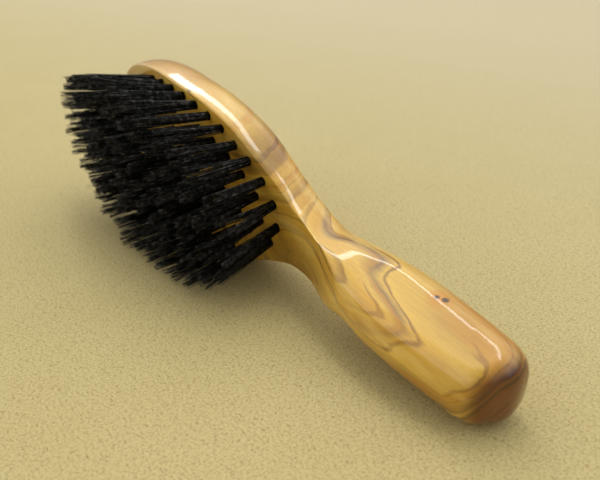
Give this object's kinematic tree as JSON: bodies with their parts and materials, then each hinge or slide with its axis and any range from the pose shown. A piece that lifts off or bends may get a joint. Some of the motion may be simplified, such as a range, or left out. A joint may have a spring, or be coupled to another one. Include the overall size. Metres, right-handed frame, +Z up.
{
  "type": "beard brush",
  "caption": "Paddle-shaped wooden beard brush with a short waisted handle and a field of dark bristle tufts, lying on its side.",
  "frame": {"origin": "centre of the underside of the bounding box, on the table the brush lies on", "axes": "+X along the brush from the head towards the end of the handle, -Y the way the bristles point, +Z up"},
  "size_m": [0.1458, 0.0334, 0.0429],
  "materials": {
    "olive_wood": "gloss",
    "black_bristle": "satin"
  },
  "bodies": {
    "root": {"wooden_body": "olive_wood", "tuft_outer_01": "black_bristle", "tuft_outer_02": "black_bristle", "tuft_outer_03": "black_bristle", "tuft_outer_04": "black_bristle", "tuft_outer_05": "black_bristle", "tuft_outer_06": "black_bristle", "tuft_outer_07": "black_bristle", "tuft_outer_08": "black_bristle", "tuft_outer_09": "black_bristle", "tuft_outer_10": "black_bristle", "tuft_outer_11": "black_bristle", "tuft_outer_12": "black_bristle", "tuft_outer_13": "black_bristle", "tuft_outer_14": "black_bristle", "tuft_outer_15": "black_bristle", "tuft_outer_16": "black_bristle", "tuft_outer_17": "black_bristle", "tuft_outer_18": "black_bristle", "tuft_outer_19": "black_bristle", "tuft_outer_20": "black_bristle", "tuft_outer_21": "black_bristle", "tuft_outer_22": "black_bristle", "tuft_outer_23": "black_bristle", "tuft_outer_24": "black_bristle", "tuft_outer_25": "black_bristle", "tuft_outer_26": "black_bristle", "tuft_outer_27": "black_bristle", "tuft_outer_28": "black_bristle", "tuft_outer_29": "black_bristle", "tuft_outer_30": "black_bristle", "tuft_outer_31": "black_bristle", "tuft_outer_32": "black_bristle", "tuft_inner_01": "black_bristle", "tuft_inner_02": "black_bristle", "tuft_inner_03": "black_bristle", "tuft_inner_04": "black_bristle", "tuft_inner_05": "black_bristle", "tuft_inner_06": "black_bristle", "tuft_inner_07": "black_bristle", "tuft_inner_08": "black_bristle", "tuft_inner_09": "black_bristle", "tuft_inner_10": "black_bristle", "tuft_inner_11": "black_bristle", "tuft_inner_12": "black_bristle", "tuft_inner_13": "black_bristle", "tuft_inner_14": "black_bristle", "tuft_inner_15": "black_bristle", "tuft_inner_16": "black_bristle", "tuft_inner_17": "black_bristle", "tuft_inner_18": "black_bristle", "tuft_inner_19": "black_bristle", "tuft_inner_20": "black_bristle", "tuft_inner_21": "black_bristle", "tuft_inner_22": "black_bristle", "tuft_inner_23": "black_bristle", "tuft_inner_24": "black_bristle", "tuft_middle_01": "black_bristle", "tuft_middle_02": "black_bristle", "tuft_middle_03": "black_bristle"}
  },
  "joints": []
}
